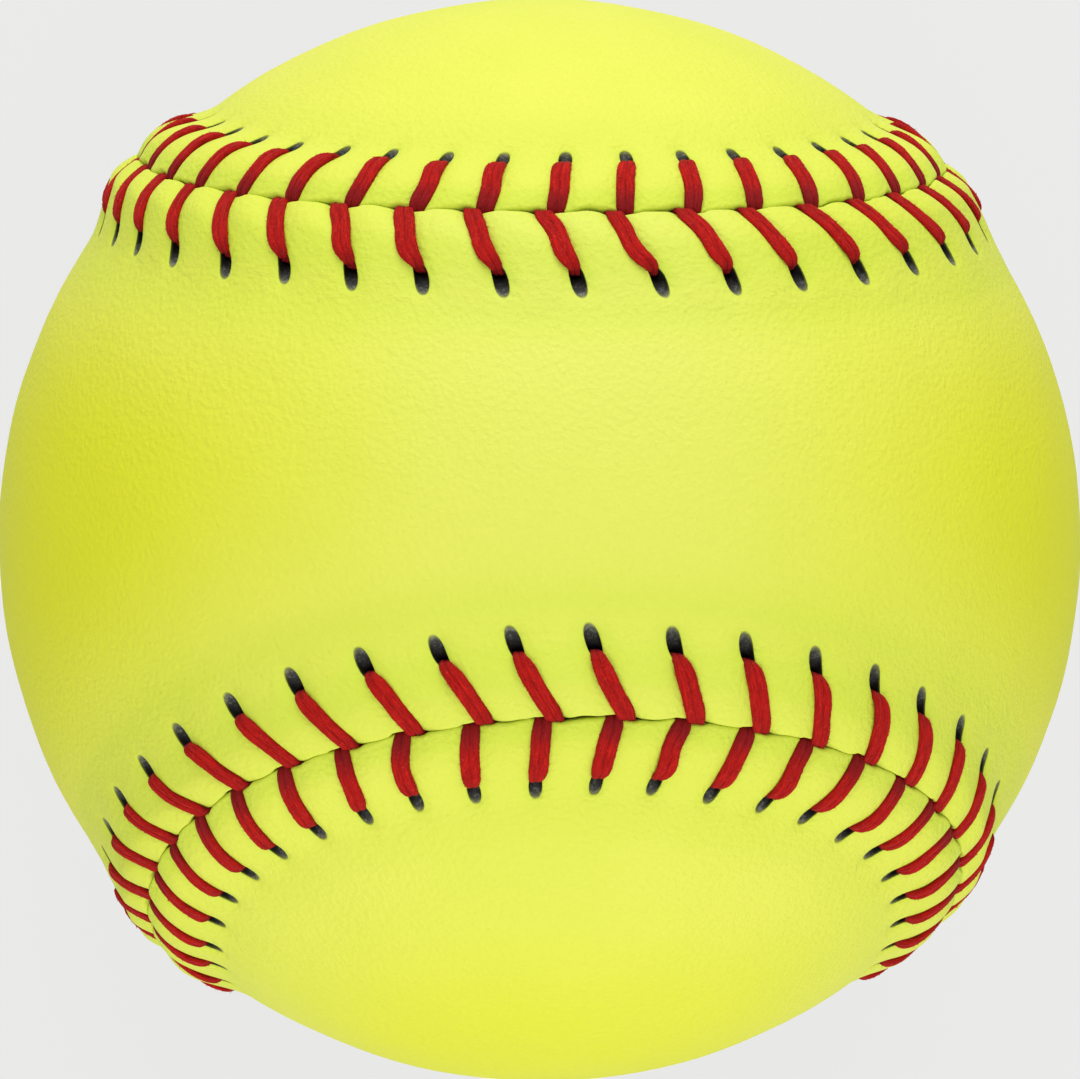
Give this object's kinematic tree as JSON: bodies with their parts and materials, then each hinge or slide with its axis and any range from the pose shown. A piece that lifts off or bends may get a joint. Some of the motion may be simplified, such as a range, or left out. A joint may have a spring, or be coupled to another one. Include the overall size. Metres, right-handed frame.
{
  "type": "softball",
  "caption": "Round wound softball with a yellow leather cover of two figure-eight panels, drawn together in a raised seam by red chevron stitches",
  "frame": {"origin": "the ball's centre", "axes": "+Z points out through the narrow waist of the top panel, the panel that faces the picture's camera; +X points out through one of the top panel's two round lobes; +Y points out through one of the bottom panel's two lobes; the bottom panel's waist faces -Z, where the ball rests"},
  "size_m": [0.089, 0.089, 0.089],
  "materials": {
    "cork_rubber": "matte",
    "yarn": "matte",
    "rubber_cement": "satin",
    "cover_leather": "satin",
    "red_thread": "matte"
  },
  "bodies": {
    "root": {"core": "cork_rubber", "yarn_winding": "yarn", "cement_coat": "rubber_cement", "top_cover_panel": "cover_leather", "bottom_cover_panel": "cover_leather", "first_thread": "red_thread", "second_thread": "red_thread"}
  },
  "joints": []
}
